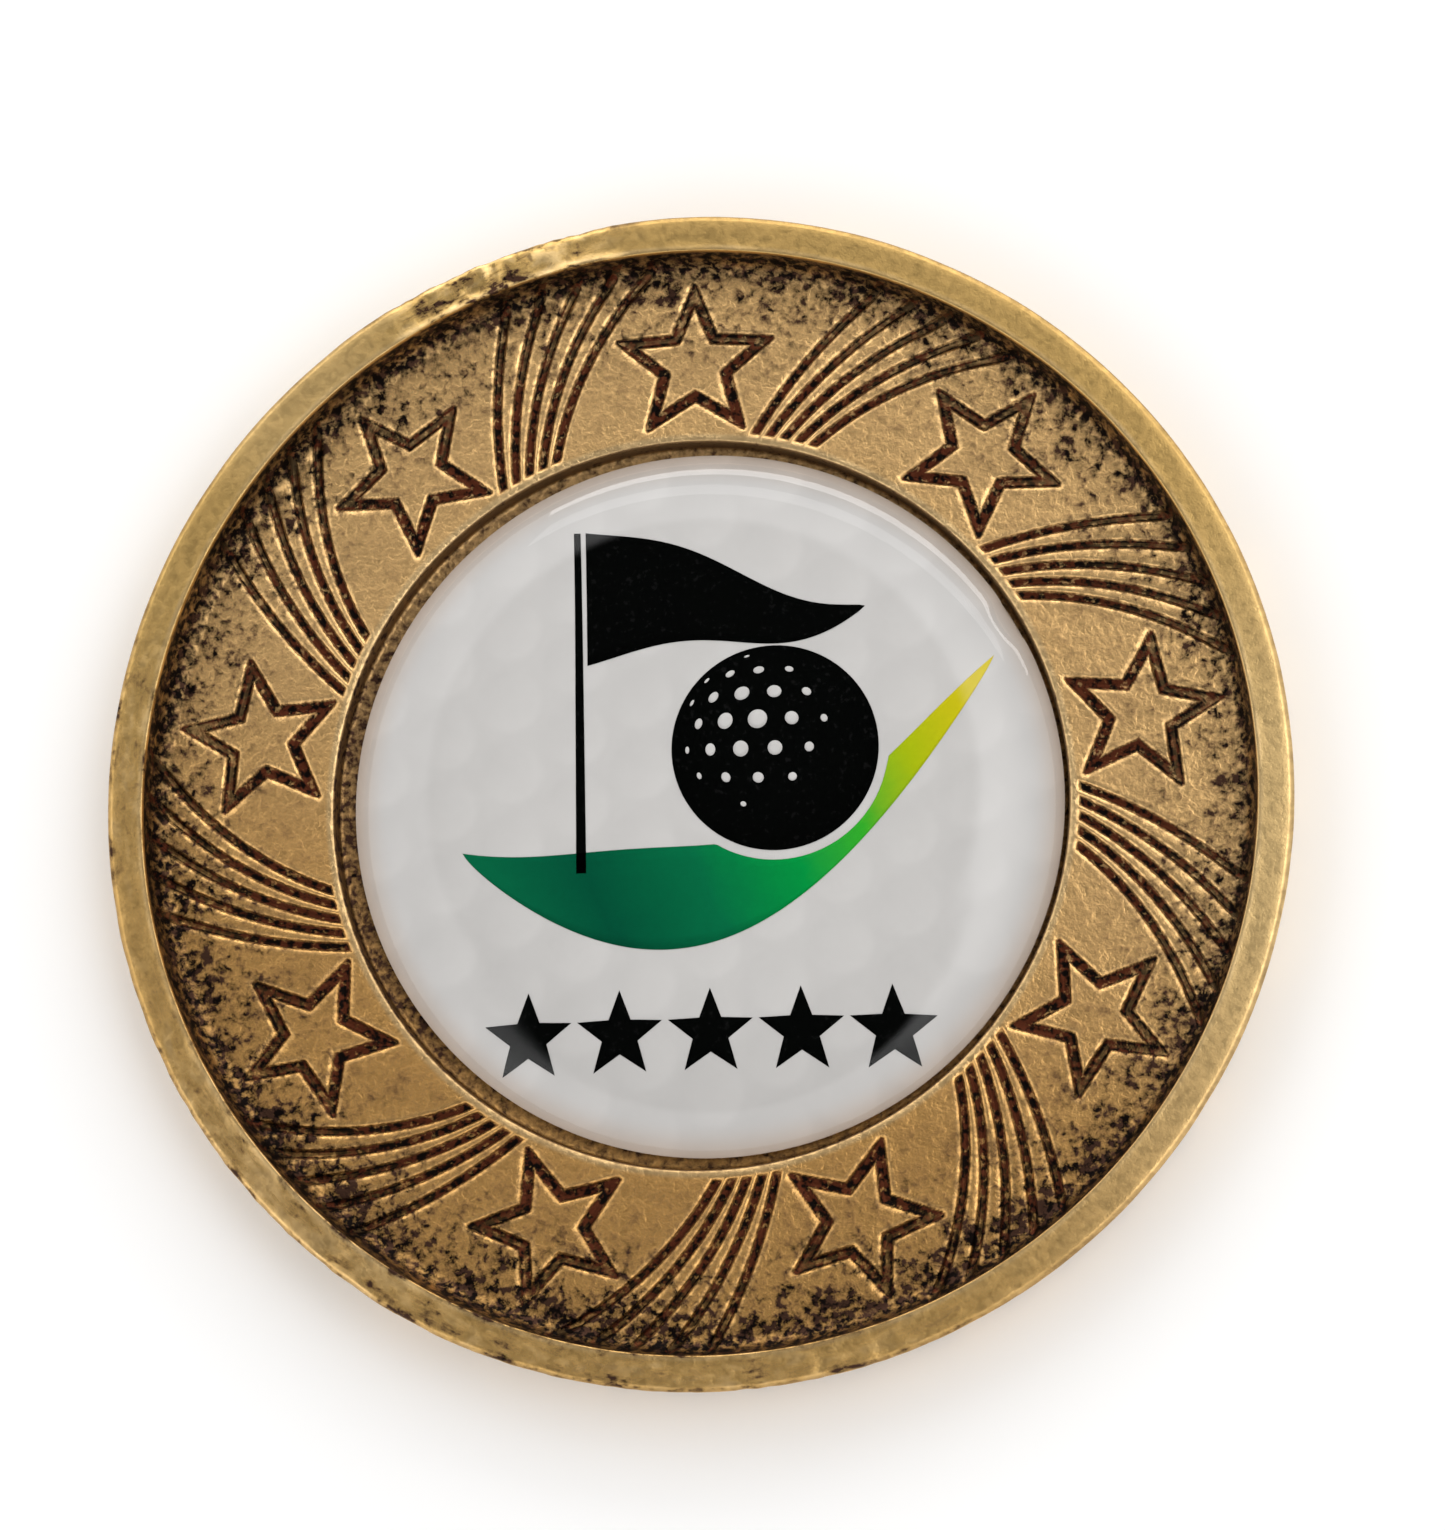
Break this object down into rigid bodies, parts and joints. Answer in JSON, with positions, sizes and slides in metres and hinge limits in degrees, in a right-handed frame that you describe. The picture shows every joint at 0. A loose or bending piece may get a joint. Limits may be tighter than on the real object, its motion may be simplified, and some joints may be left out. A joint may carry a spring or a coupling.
{
  "type": "golf ball marker",
  "caption": "Round cast golf ball marker with a raised rim, a sunk border of outlined stars and curved grooves, and a clear domed label in a central recess.",
  "frame": {"origin": "centre of the underside, on the plane that the standing rim of the reverse rests on", "axes": "+Z out of the printed face, +Y towards one of the border's stars, which is the top of the label's artwork, +X to the right as seen from the front"},
  "size_m": [0.04, 0.04, 0.003],
  "materials": {
    "antique_gold": "satin",
    "adhesive": "satin",
    "label_white": "satin",
    "clear_resin": "gloss",
    "black_ink": "satin",
    "green_ink": "satin"
  },
  "bodies": {
    "root": {"cast_disc": "antique_gold", "adhesive_pad": "adhesive", "printed_film": "label_white", "resin_dome": "clear_resin"}
  },
  "joints": []
}
